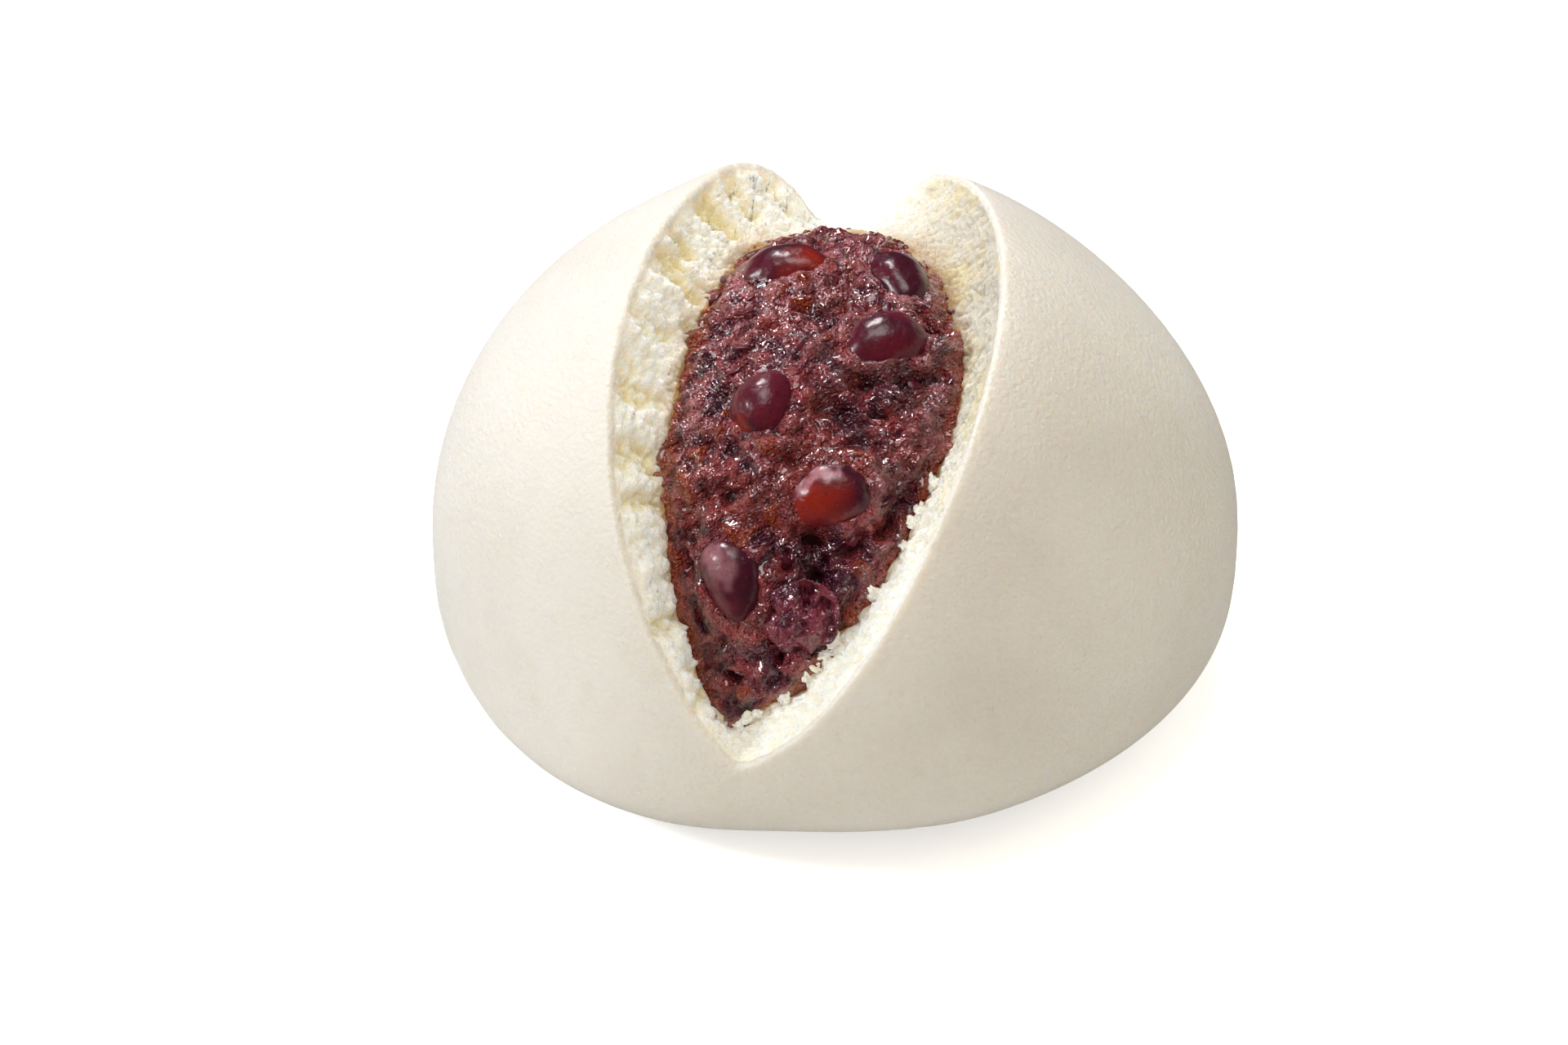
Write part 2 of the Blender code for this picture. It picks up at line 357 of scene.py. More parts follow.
def dough_grid():
    """The dough's points, and how far each is crumb, painted shade in a recess, juice stain and
    painted shade along the seam, and painted shade in a darker cream on the upper right wall."""
    turns = even_turns(DOUGH_COLUMNS)
    leftness = ease(np.sin(turns), -0.25, 0.25)
    rim = outline(turns, RIM)
    seam = outline(turns, SEAM)
    ragged = RIGHT_RAGGED + (LEFT_RAGGED - RIGHT_RAGGED) * leftness
    spot = rim * RIM_REACH
    rim = slerp(rim, seam, ragged * (waves(spot, 3.2, 11) + 0.5 * waves(spot, 1.2, 12)))
    lip = RIGHT_LIP + (LEFT_LIP - RIGHT_LIP) * leftness
    base = base_share(rim)

    skin = []
    for row in range(BASE_ROWS + 1):
        direction = down_from(rim, 1 - (1 - base) * row / BASE_ROWS)
        skin.append(direction * skin_radius(direction)[:, None])
    lip_share = lip / (skin_radius(rim) * (math.pi - np.arccos(rim[:, 2])))
    for row in range(1, SKIN_ROWS + 1):
        direction = down_from(rim, base + (lip_share - base) * row / SKIN_ROWS)
        skin.append(direction * skin_radius(direction)[:, None])
    for row in range(1, LIP_ROWS + 1):
        angle = math.pi / 2 * row / LIP_ROWS
        direction = down_from(rim, lip_share * (1 - math.sin(angle)))
        drop = lip * (1 - math.cos(angle))
        skin.append(direction * (skin_radius(direction) - drop)[:, None])
    first = len(skin)

    shares = TUCK * np.arange(1, WALL_ROWS + 1) / WALL_ROWS
    start = skin_radius(rim) - lip
    end = paste_radius(seam)
    wall = []
    for share in shares:
        direction = slerp(rim, seam, np.full(DOUGH_COLUMNS, share))
        hollow = WALL_HOLLOW * math.sin(math.pi * min(share, 1))
        radius = start + (end - start) * share - hollow
        wall.append(direction * radius[:, None])

    points = np.array(skin + wall)
    normals = surface_normals(points)
    torn = points[first - LIP_ROWS:]
    lip_rows = np.arange(1 - LIP_ROWS, 1) / LIP_ROWS * LIP_SHARE
    rows = np.concatenate((lip_rows, shares))[:, None]
    direction = torn / np.linalg.norm(torn, axis=-1, keepdims=True)
    edge = 0.02 * waves(torn / MM, 1.1, 14) + 0.015 * waves(torn / MM, 2.7, 15)
    crumb = ease(rows + edge, -LIP_SHARE * leftness, 0.02 + LIP_SHARE * leftness)
    # Painted shade on the crumb's upper right wall, as a darker cream colour, strongest towards
    # the top
    up = ease(direction[..., 2], 0.35, 0.85)
    shaded_cream = SHADED_CREAM_LEAST + (1 - SHADED_CREAM_LEAST) * up
    shaded_cream = shaded_cream * ease(direction @ RIGHT, -0.1, 0.3) * crumb
    relief = crumb_relief(torn / MM, direction) * (1 - SHADED_CREAM_CALM * shaded_cream)
    fade = ease(rows + edge, -LIP_SHARE * leftness, 0.08 + 0.06 * leftness)
    fade = fade * (1 - SEAM_CALM * ease(rows, 0.78, 1.0))
    points[first - LIP_ROWS:] += normals[first - LIP_ROWS:] * (relief * fade * MM)[..., None]

    pocket = []
    for row in range(1, POCKET_ROWS + 1):
        direction = down_from(seam, row / POCKET_ROWS)
        pocket.append(direction * (paste_radius(direction) + GAP)[:, None])
    points = np.concatenate((points, np.array(pocket))) + CENTRE
    masks = {name: np.zeros(points.shape[:2]) for name in
             ("crumb", "recess_shade", "soaked_and_shaded", "shaded_cream")}
    masks["crumb"][first:] = 1
    shown = slice(first - LIP_ROWS, first + WALL_ROWS)
    masks["crumb"][shown] = crumb
    # Painted shade in the crumb's hollows
    masks["recess_shade"][shown] = ease(-relief, 0.15, 1.7) * fade
    masks["shaded_cream"][shown] = shaded_cream
    # Partly a juice stain, partly painted shade: the crumb browner towards the seam with the paste
    reach = rows + 0.05 * waves(torn / MM, 3.0, 16) + 0.03 * waves(torn / MM, 1.2, 17)
    masks["soaked_and_shaded"][shown] = 0.5 * ease(reach, 0.5, 0.9) + 0.5 * ease(reach, 0.86, 0.97)
    return points, masks


def warped_ball(name, points, masks):
    """A closed ball laid out as rings of points between two poles, with masks on them."""
    rows, columns = points.shape[0] - 1, points.shape[1]
    bm = bmesh.new()
    bmesh.ops.create_grid(bm, x_segments=columns, y_segments=rows, size=1)
    layers = {mask: bm.verts.layers.float.new(mask) for mask in masks}
    joined = []
    for vert in bm.verts:
        row = round((vert.co.y + 1) / 2 * rows)
        column = round((vert.co.x + 1) / 2 * columns)
        if row in (0, rows) or column in (0, columns):
            joined.append(vert)
        column %= columns
        vert.co = points[row, column]
        for mask, layer in layers.items():
            vert[layer] = masks[mask][row, column]
    bmesh.ops.remove_doubles(bm, verts=joined, dist=JOIN)
    if bm.calc_volume(signed=True) < 0:
        bmesh.ops.reverse_faces(bm, faces=bm.faces)
    return finish_piece(name, bm)


def finish_piece(name, bm):
    """A smooth-shaded object at the origin from a bmesh."""
    mesh = bpy.data.meshes.new(name)
    bm.to_mesh(mesh)
    bm.free()
    mesh.shade_smooth()
    piece = bpy.data.objects.new(name, mesh)
    bpy.context.scene.collection.objects.link(piece)
    return piece


# Whole beans: along and across in degrees, half length, half width, half thickness and depth in
# millimetres, turn in degrees, and how much one end is narrower; then the crushed one's skin
BEANS = {
    "red_bean_1": (92.5, -10, 5.1, 3.7, 3.4, 1.0, 8, 0.08),
    "red_bean_2": (93, 12, 4.8, 3.5, 3.3, 1.0, -50, 0.14),
    "red_bean_3": (73, 13, 5.0, 3.7, 3.4, 0.8, 40, -0.18),
    "red_bean_4": (55, -6, 4.2, 3.6, 3.5, 0.9, 82, 0.13),
    "red_bean_5": (39, 9, 4.7, 3.8, 3.3, 1.2, 15, 0.05),
    "red_bean_6": (22, -7, 4.9, 3.5, 3.5, 0.9, -66, 0.15),
}
HUSK = (18, 6, 4.0, 3.4, 1.8, 0.6, 60, 0)
BEAN_COLUMNS = 84
BEAN_ROWS = 60
BEAN_BEND = 0.10
BEAN_FULLNESS = 0.86
BEAN_UNEVEN = 0.16
BEAN_DIMPLES = 0.05
BEAN_REACH = 6 * MM

# Painted glow, where a bean's thin skin is coloured red as if lit from within: its name, then a
# point on it along its length and width, and reach
GLOWS = {
    "red_bean_1": (0.6, -0.5, 0.9),
    "red_bean_5": (-0.4, -0.3, 1.2),
    "red_bean_4": (-0.9, 0.5, 0.6),
}

# Painted sheen, where a bean's skin is coloured pale as if it caught the light: its name, then a
# point on it as above, reach and strength
BEAN_SHEENS = {
    "red_bean_5": ((-0.15, 0.72, 0.42, 0.8), (-0.72, 0.38, 0.34, 0.8)),
    "red_bean_1": ((-0.75, 0.25, 0.3, 0.5),),
    "red_bean_6": ((-0.5, -0.1, 0.75, 0.4),),
}


def bean_frame(along, across, depth, turn):
    """Centre and axes of a bean: its length, its width and its outward back."""
    outward = Vector(towards(along, across))
    right = Vector(RIGHT)
    level = (right - outward * right.dot(outward)).normalized()
    basis = Matrix((level, outward.cross(level), outward)).transposed()
    basis = basis @ Matrix.Rotation(math.radians(turn), 3, "Z")
    reach = float(paste_radius(np.array(outward))) - depth * MM
    return np.array(outward) * reach, np.array(basis)


def make_bean(name, seed):
    """A bean with full ends, one narrower, one flatter side and a slightly uneven skin."""
    along, across, length, width, thickness, depth, turn, pear = BEANS[name]
    centre, basis = bean_frame(along, across, depth, turn)
    polar = np.linspace(0, np.pi, BEAN_ROWS + 1)[:, None]
    azimuth = (2 * np.pi * np.arange(BEAN_COLUMNS) / BEAN_COLUMNS)[None, :]
    axis = np.cos(polar) * np.ones_like(azimuth)
    ring = np.sin(polar) ** BEAN_FULLNESS * (1 - pear * axis)
    side = ring * np.cos(azimuth)
    back = ring * np.sin(azimuth)
    local = np.stack((axis, side, back), -1)
    bend = BEAN_BEND * width * (1 - 2 * axis**2)
    points = np.stack((axis * length, side * width + bend, back * thickness), -1)
    spot = points + 17.0 * seed
    uneven = BEAN_UNEVEN * waves(spot, 2.4, 21) + BEAN_DIMPLES * waves(spot, 0.9, 22)
    size = np.linalg.norm(points, axis=-1)
    points = points * (1 + uneven / size)[..., None] * MM
    glow = np.zeros(points.shape[:2])
    # Painted glow: red colour where the thin skin looks lit from within
    if name in GLOWS:
        x, y, reach = GLOWS[name]
        apart = np.hypot(local[..., 0] - x, local[..., 1] - y) + 0.4 * waves(spot, 1.9, 23)
        glow = 1 - ease(apart, 0, reach)
    # Painted sheen: pale colour where the skin would catch the light
    bean_sheen = np.zeros(points.shape[:2])
    for x, y, reach, strength in BEAN_SHEENS.get(name, ()):
        apart = np.hypot(local[..., 0] - x, local[..., 1] - y) + 0.3 * waves(spot, 1.2, 24)
        bean_sheen = np.maximum(bean_sheen, strength * (1 - ease(apart, 0.3 * reach, reach)))
    points = points @ basis.T + centre + CENTRE
    masks = {"glow": glow, "bean_sheen": bean_sheen}
    return warped_ball(name.replace("red_bean", "whole_bean"), points, masks)


# The paste's mesh: columns along the tear and rows across it, most of them where it shows
PASTE_COLUMNS = 388
PASTE_ROWS = 256
ALONG_MARKS = ((0, -15), (0.87, 128), (1, 345))
ACROSS_MARKS = ((0, 90), (0.06, 37), (0.94, -34), (1, -90))
RIDGE_TURN = math.radians(35)
RIDGE_LENGTH = 6.5
RIDGE_WIDTH = 1.8
MM_A_DEGREE = 0.6

# Where the paste's relief fades out under the dough: degrees along at each end, and across
SHOWN_FRONT = (-16, -8)
SHOWN_BACK = (120, 130)
SHOWN_SIDE = (31, 38)

# Heights in the paste in millimetres, from its wide swells to its grain, how far husk smooths
# them, and the mash's collar and socket round a bean
MASH_SWELL = 0.8
MASH_LUMP = 1.3
MASH_SMEAR = 0.36
MASH_FINE_SMEAR = 0.20
MASH_GRAIN = 0.08
MASH_CRACK = 1.1
MASH_RIDGE = 0.35
HUSK_CALM = 0.75
BEAN_COLLAR = 0.8
BEAN_SOCKET = 1.2

# Folds pressed up and cracks pulled open: from along and across, to along and across, height
# and width in millimetres
FOLDS = (
    (99, -15, 100, -4, -1.3, 3.0),
    (32, 6, 22, 8, -1.5, 2.4),
    (27, 2, 10, 2, -1.1, 1.3),
    (63, 10, 70, 26, -1.5, 1.6),
    (86, 14, 81, 22, -1.4, 1.4),
    (61, -18, 51, -10, -1.0, 1.4),
    (80, -5, 75, 2, -1.3, 1.7),
    (36, 19, 47, 28, -1.0, 2.6),
    (24, -16, 13, -12, -0.9, 1.0),
    (34, 7, 33, 14, -1.3, 1.5),
    (44, -18, 48, -7, -0.8, 1.4),
    (56, 5, 54, 13, -0.9, 1.8),
    (36, -11, 44, 3, -0.9, 0.9),
    (27, 10, 34, 20, -1.0, 1.2),
    (19, 10, 10, 2, -0.8, 1.0),
    (38, -17, 47, 0, 0.9, 1.5),
    (33, -11, 44, 5, 0.8, 1.3),
    (29, -15, 36, -3, 0.9, 1.5),
    (63, 0, 90, 16, 1.0, 1.8),
    (71, 19, 81, 28, 0.9, 2.6),
    (3, 2, 11, 13, 0.9, 2.6),
    (0, -9, -3, -4, 0.6, 2.4),
    (26, 15, 36, 22, 0.7, 1.6),
    (66, 1, 61, 6, 0.9, 2.0),
    (58, -21, 50, -16, 0.8, 2.4),
    (82, -22, 84, -15, 0.8, 2.2),
    (56, 22, 51, 29, 0.8, 2.4),
    (88, -3, 104, -3, 1.0, 1.6),
    (105, 0, 98, 5, 1.0, 2.0),
    (47, 14, 42, 17, 0.8, 1.4),
    (47, -9, 48, 0, 0.7, 1.4),
)

# Painted shade on the paste, where it is darker: along, across, reach in degrees
SHADE_PATCHES = (
    (27, 8, 9),
    (41, 24, 9),
    (65, 18, 8),
    (54, 10, 7),
    (15, 8, 7),
    (77, 0, 6),
    (57, -14, 5),
)


def spread(count, marks, closed):
    """Values spaced as the marks say, for a ring or for rows from edge to edge."""
    shares = np.arange(count + (0 if closed else 1)) / count
    return np.interp(shares, [mark[0] for mark in marks], [mark[1] for mark in marks])


def bean_levels(points):
    """How far out each point is from the nearest bean: 1 on its outline."""
    near = np.full(points.shape[:-1], 9.0)
    for along, across, length, width, _, depth, turn, _ in BEANS.values():
        centre, basis = bean_frame(along, across, depth, turn)
        local = (points - centre) @ basis
        level = np.hypot(local[..., 0] / length, local[..., 1] / width) / MM
        level = np.where(np.abs(local[..., 2]) < BEAN_REACH, level, 9)
        near = np.minimum(near, level)
    return near


def fold_relief(points):
    """Height in millimetres of the listed folds and cracks."""
    height = np.zeros(points.shape[:-1])
    wander = bent(points, 2.4, 0.8, 50)
    for along, across, along_end, across_end, rise, width in FOLDS:
        start, end = towards((along, along_end), (across, across_end))
        start = start * paste_radius(start) / MM
        end = end * paste_radius(end) / MM
        run = end - start
        share = np.clip(((wander - start) @ run) / (run @ run), 0, 1)
        apart = np.linalg.norm(wander - start - share[..., None] * run, axis=-1)
        height += rise * (1 - ease(apart, 0.1 * width, width))
    return height


def paste_relief(points):
    """Height of the paste in millimetres, and how much each point is husk."""
    moved = bent(points, 3.2, 1.3, 30)
    height = MASH_SWELL * waves(moved, 7.5, 31)
    first, second, chance = nearest_cells(moved, 3.1, 32)
    crease = np.minimum(1, 1.6 * (second - first))
    height += MASH_LUMP * (0.6 * crease + 0.4 * (1 - np.minimum(first, 1)) - 0.5)
    husk = ease(chance, 0.75, 0.80) * ease(crease, 0.25, 0.6)
    rough = 1 - HUSK_CALM * husk
    smears = streaked(bent(points, 1.6, 0.5, 33))
    height += rough * MASH_SMEAR * billows(smears, 1.5, 34)
    smears = streaked(bent(points, 1.1, 0.3, 41))
    height += rough * MASH_FINE_SMEAR * billows(smears, 0.75, 35)
    height += rough * MASH_GRAIN * billows(points, 0.48, 36)
    height -= MASH_CRACK * ease(waves(moved, 3.4, 37), 0.3, 0.6)
    return height, husk


def ridge_relief(along, across):
    """Long ridges that climb to the right, as left by mashing."""
    run = MM_A_DEGREE * (along * math.sin(RIDGE_TURN) + across * math.cos(RIDGE_TURN))
    rise = MM_A_DEGREE * (along * math.cos(RIDGE_TURN) - across * math.sin(RIDGE_TURN))
    flat = np.stack((run / RIDGE_LENGTH, rise / RIDGE_WIDTH, np.zeros_like(run)), -1)
    return 1 - 2 * np.abs(waves(bent(flat, 1.0, 0.25, 38), 1.0, 39))


def seam_margin(along, across):
    """Degrees from points on the paste in from the seam, across the tear."""
    behind = along > SEAM["widest"]
    end = np.where(behind, SEAM["ends"][1], SEAM["ends"][0])
    reach = np.clip((along - SEAM["widest"]) / (end - SEAM["widest"]), 0, 1)
    sweep = np.sqrt(1 - reach**2)
    start, centre, finish = SEAM["middle"]
    middle = centre + (np.where(behind, finish, start) - centre) * reach**2
    left = sweep ** np.where(behind, SEAM["left"][1], SEAM["left"][0])
    right = sweep ** np.where(behind, SEAM["right"][1], SEAM["right"][0])
    left = across - (middle - SEAM["half_width"] * left)
    right = middle + SEAM["half_width"] * right - across
    return np.minimum(left, right)


def paste_grid():
    """The paste's points, and how far each is husk, in painted shade in a crevice, in painted
    sheen on a crest, in painted shade in a dark patch, and stained at the seam."""
    along, across = np.meshgrid(spread(PASTE_COLUMNS, ALONG_MARKS, True),
                                spread(PASTE_ROWS, ACROSS_MARKS, False))
    direction = towards(along, across)
    radius = paste_radius(direction)
    points = direction * radius[..., None]
    shown = ease(along, *SHOWN_FRONT) * (1 - ease(along, *SHOWN_BACK))
    shown = shown * (1 - ease(np.abs(across - 1), *SHOWN_SIDE))
    relief, husk = paste_relief(points / MM)
    relief += MASH_RIDGE * ridge_relief(along, across) + fold_relief(points / MM)
    level = bean_levels(points) + 0.10 * waves(points / MM, 1.6, 42)
    collar = ease(level, 0.60, 0.88) * (1 - ease(level, 1.05, 1.6))
    relief = relief * (0.35 + 0.65 * ease(level, 0.9, 1.4))
    relief += collar * (BEAN_COLLAR + 0.5 * waves(points / MM, 2.4, 44))
    relief -= BEAN_SOCKET * (1 - ease(level, 0.45, 0.75))
    margin = seam_margin(along, across)
    relief *= shown * (0.45 + 0.55 * ease(margin, 0, 5))
    stain = 1 - ease(margin + 1.6 * waves(points / MM, 2.6, 46), 0.5, 2.6)
    points = direction * (radius + relief * MM)[..., None] + CENTRE
    # Painted shade in patches on the paste
    painted_shade = np.zeros(points.shape[:2])
    for shade_along, shade_across, reach in SHADE_PATCHES:
        apart = degrees_apart(direction, shade_along, shade_across) + 3 * waves(points / MM, 3.0, 43)
        painted_shade = np.maximum(painted_shade, 1 - ease(apart, 0.3 * reach, reach))
    # Painted sheen on the crests, spreading more towards the top and the sides
    sheen_spread = 0.2 + 0.8 * ease(along, 56, 80) + 0.6 * ease(np.abs(across), 12, 22)
    sheen_crest = ease(relief + 0.3, 0.0, 0.9) * np.minimum(sheen_spread, 1) * (1 - 0.6 * painted_shade)
    # Painted shade in the crevices
    crevice_shade = ease(-relief, 0.7, 2.2)
    return points, {"husk": husk * shown, "crevice_shade": crevice_shade * shown, "sheen_crest": sheen_crest * shown,
                    "painted_shade": painted_shade, "stain": stain * shown}


# The crushed bean's skin, a crumpled sheet with a curled edge
HUSK_STEPS = (56, 44)
HUSK_THICKNESS = 0.16 * MM
HUSK_SPREAD = 1.15
HUSK_WAVINESS = 0.16
HUSK_DOME = 0.75
HUSK_CREASE = 0.75
HUSK_WRINKLE = 0.28
HUSK_CURL = 1.3
FOLD_GAIN = 2.6

# A slanting line along which the skin's faces are put in order
FACE_ORDER = Vector((1.0, 1.7, 2.9))


def make_husk():
    along, across, length, width, thickness, depth, turn, _ = HUSK
    centre, basis = bean_frame(along, across, depth, turn)
    bm = bmesh.new()
    bmesh.ops.create_grid(bm, x_segments=HUSK_STEPS[0], y_segments=HUSK_STEPS[1], size=1)
    square = np.array([vert.co[:2] for vert in bm.verts])
    disc = square * np.sqrt(1 - square[:, ::-1] ** 2 / 2)
    out = np.linalg.norm(disc, axis=1)
    span = (HUSK_SPREAD * length, HUSK_SPREAD * width)
    flat = np.column_stack((disc * span, np.zeros(len(disc))))
    wavy = 1 + HUSK_WAVINESS * waves(flat, 2.6, 61)
    flat[:, :2] *= wavy[:, None]
    height = thickness * (1 - HUSK_DOME * out**2)
    creases = waves(bent(flat, 2.0, 0.6, 62), 2.4, 63)
    height += HUSK_CREASE * (1 - FOLD_GAIN * np.abs(creases))
    height += HUSK_WRINKLE * (1 - FOLD_GAIN * np.abs(waves(flat, 0.9, 64)))
    curled = ease(out, 0.72, 1.0) * ease(disc[:, 0] - 0.6 * disc[:, 1], -0.1, 0.6)
    height += HUSK_CURL * curled
    local = np.column_stack((flat[:, :2], height)) * MM
    places = local @ basis.T + centre + CENTRE
    for vert, place in zip(bm.verts, places):
        vert.co = place
    bmesh.ops.solidify(bm, geom=bm.faces[:], thickness=HUSK_THICKNESS)
    # Solidify makes the edge's faces in another order each run
    bm.faces.sort(key=lambda face: face.calc_center_median().dot(FACE_ORDER))
    if bm.calc_volume(signed=True) < 0:
        bmesh.ops.reverse_faces(bm, faces=bm.faces)
    return finish_piece("crushed_husk", bm)


# Small bits: thin flakes of bean skin pressed in the paste, tufts of crumb along its edge and
# granules of paste on the crumb
FLAKES = 46
TUFTS = 16
GRANULES = 70
FLAKE_THICKNESS = 0.16
FLAKE_SINK = 0.05 * MM
FULL_TURN = 6.3


def add_bit(bm, place, basis, size, seed, rough, detail=2):
    """A small rounded lump, squashed by size and roughened."""
    made = bmesh.ops.create_icosphere(bm, subdivisions=detail, radius=1)["verts"]
    points = np.array([vert.co for vert in made])
    spot = points + 13.7 * seed
    swell = 1 + rough * (waves(spot, 0.8, 71) + 0.6 * billows(spot, 0.5, 72))
    places = (points * swell[:, None] * size) @ basis.T + place
    for vert, where in zip(made, places):
        vert.co = where


def turned_basis(outward, angle, tilt):
    """Axes with the third near outwards, turned by angle and leant by tilt."""
    outward = Vector(outward)
    level = outward.orthogonal().normalized()
    basis = Matrix((level, outward.cross(level), outward)).transposed()
    turn = Matrix.Rotation(angle, 3, "Z") @ Matrix.Rotation(tilt, 3, "X")
    return np.array(basis @ turn)


def make_flakes(points, rng):
    """Flakes of bean skin, scattered over the paste that shows."""
    bm = bmesh.new()
    for number in range(FLAKES):
        column = rng.integers(int(0.05 * PASTE_COLUMNS), int(0.84 * PASTE_COLUMNS))
        row = rng.integers(int(0.12 * PASTE_ROWS), int(0.88 * PASTE_ROWS))
        place = points[row, column]
        outward = (place - CENTRE) / np.linalg.norm(place - CENTRE)
        basis = turned_basis(outward, rng.uniform(0, FULL_TURN), rng.uniform(-0.8, 0.8))
        size = np.array((rng.uniform(0.7, 1.6), rng.uniform(0.5, 1.0), FLAKE_THICKNESS)) * MM
        add_bit(bm, place - FLAKE_SINK * outward, basis, size, number, 0.5)
    return finish_piece("husk_flakes", bm)


def edge_place(turn, share, lift):
    """A direction and a place on the paste's ball, a share of the way from rim to seam."""
    rim = outline(np.array([turn]), RIM)
    seam = outline(np.array([turn]), SEAM)
    direction = slerp(rim, seam, np.array([share]))
    return direction[0], direction[0] * (paste_radius(direction)[0] + lift) + CENTRE


def make_tufts(rng):
    """Tufts of crumb along the lower right of the seam."""
    bm = bmesh.new()
    for number in range(TUFTS):
        turn = rng.uniform(1.6 * math.pi, 1.99 * math.pi)
        direction, place = edge_place(turn, rng.uniform(0.88, 1.05), rng.uniform(-0.1, 0.3) * MM)
        basis = turned_basis(direction, rng.uniform(0, FULL_TURN), rng.uniform(-0.6, 0.6))
        size = np.array((rng.uniform(0.6, 1.3), rng.uniform(0.5, 0.9), rng.uniform(0.4, 0.7)))
        add_bit(bm, place, basis, size * MM, number, 0.8, 4)
    layer = bm.verts.layers.float.new("crumb")
    for vert in bm.verts:
        vert[layer] = 1
    return finish_piece("crumb_tufts", bm)


def make_granules(rng):
    """Granules of paste on the crumb, round the back and upper right of the seam."""
    bm = bmesh.new()
    for number in range(GRANULES):
        turn = rng.uniform(0.9, 1.35) * math.pi
        share = 1 - abs(rng.normal(0, 0.14))
        direction, place = edge_place(turn, max(share, 0.5), 0.0)
        basis = turned_basis(direction, rng.uniform(0, FULL_TURN), rng.uniform(-0.6, 0.6))
        size = rng.uniform(0.12, 0.42) * np.array((1.2, 1, 0.7)) * MM
        add_bit(bm, place, basis, size, number, 0.7)
    return finish_piece("paste_granules", bm)


# Materials

# Painted glow: light the torn crumb gives off, standing in for light that seeps through the thin
# crumb from behind
CRUMB_GLOW = 0.20

# Light that the floor gives off where the camera sees it
FLOOR_GLOW = 0.6

# Colours of the dough, the first of a pair where its noise is low
SKIN = ((0.745, 0.712, 0.662), (0.785, 0.758, 0.717))
SKIN_SPECK = (0.66, 0.61, 0.53)
TORN = ((0.93, 0.88, 0.76), (0.97, 0.95, 0.88))
# Painted shade with a creamy tone, for the crumb's upper right wall
SHADED_CREAM = ((0.57, 0.53, 0.45), (0.60, 0.525, 0.345))
# Painted shade in the crumb's hollows, a warm yellow
RECESS_SHADE = (0.85, 0.75, 0.46)
# Partly a juice stain, partly painted shade, for the crumb along the seam
JUICE_AND_SHADE = (0.42, 0.25, 0.11)

# Colours of the paste
MASH = ((0.066, 0.004, 0.018), (0.29, 0.040, 0.050))
MASH_BROWN = (0.29, 0.042, 0.028)
MASH_HUSK = (0.27, 0.034, 0.009)
# Painted shade in patches
MASH_SHADE = (0.045, 0.004, 0.016)
MASH_AMBER = (0.38, 0.060, 0.014)
# Painted sheen on the crests
MASH_SHEEN = (0.48, 0.19, 0.22)
# Painted shade in the crevices
MASH_CREVICE_SHADE = (0.034, 0.003, 0.009)

# Colours of the whole beans' skin and of the crushed one's
BEAN_SKIN = ((0.045, 0.004, 0.014), (0.110, 0.007, 0.020))
# Painted glow, red where the thin skin looks lit from within
BEAN_GLOW = (0.24, 0.012, 0.004)
# Painted sheen, pale where the skin looks lit
BEAN_SHEEN = (0.46, 0.22, 0.26)
WET_HUSK = ((0.075, 0.007, 0.024), (0.24, 0.034, 0.060))

# How strongly a colour that lies in patches covers the one under it
SPECK_SHARE = 0.14
BROWN_SHARE = 0.5
# For the painted shade in patches on the paste
SHADE_SHARE = 0.7
AMBER_SHARE = 0.7
# For the painted sheen on the paste's crests
SHEEN_SHARE = 0.75

# Depths of bumps, from noise of each scale
FIBRE_DEPTH = 0.6 * MM
PORE_SHARE = 0.05
MASH_GRAIN_DEPTH = 0.8 * MM
MASH_GRIT_DEPTH = 0.4 * MM
BEAN_DIMPLE_DEPTH = 0.05 * MM
BEAN_PIT_DEPTH = -0.2 * MM
HUSK_GRAIN_DEPTH = 0.8 * MM


def add_node(tree, kind, settings=None, sockets=None):
    new = tree.nodes.new(kind)
    for key, value in (settings or {}).items():
        setattr(new, key, value)
    for key, value in (sockets or {}).items():
        if isinstance(value, bpy.types.NodeSocket):
            tree.links.new(value, new.inputs[key])
        else:
            new.inputs[key].default_value = value
    return new


def new_material(name):
    material = bpy.data.materials.new(name)
    material.use_nodes = True
    tree = material.node_tree
    return material, tree, tree.nodes["Principled BSDF"]


def masked(tree, name):
    """A mask kept with the mesh, 0 where the mesh has none."""
    return add_node(tree, "ShaderNodeAttribute", {"attribute_name": name}).outputs["Fac"]


def mix_colour(tree, factor, first, second):
    mixer = tree.nodes.new("ShaderNodeMix")
    mixer.data_type = "RGBA"
    for socket, value in ((0, factor), (6, first), (7, second)):
        if isinstance(value, bpy.types.NodeSocket):
            tree.links.new(value, mixer.inputs[socket])
        elif socket:
            mixer.inputs[socket].default_value = (*value, 1)
        else:
            mixer.inputs[socket].default_value = value
    return mixer.outputs[2]


def rough_between(tree, shader, mask, smooth, rough):
    """Roughness that follows a mask from smooth to rough."""
    tree.links.new(remap(tree, mask, 0, 1, smooth, rough), shader.inputs["Roughness"])


def let_light_in(shader, weight, radius, depth):
    shader.inputs["Subsurface Weight"].default_value = weight
    shader.inputs["Subsurface Radius"].default_value = radius
    shader.inputs["Subsurface Scale"].default_value = depth


def calculate(tree, operation, first, second):
    new = add_node(tree, "ShaderNodeMath", {"operation": operation}, {0: first, 1: second})
    return new.outputs[0]


def remap(tree, value, low, high, start=0.0, end=1.0):
    new = add_node(tree, "ShaderNodeMapRange", {"interpolation_type": "SMOOTHSTEP"},
                   {"Value": value, "From Min": low, "From Max": high, "To Min": start,
                    "To Max": end})
    return new.outputs["Result"]


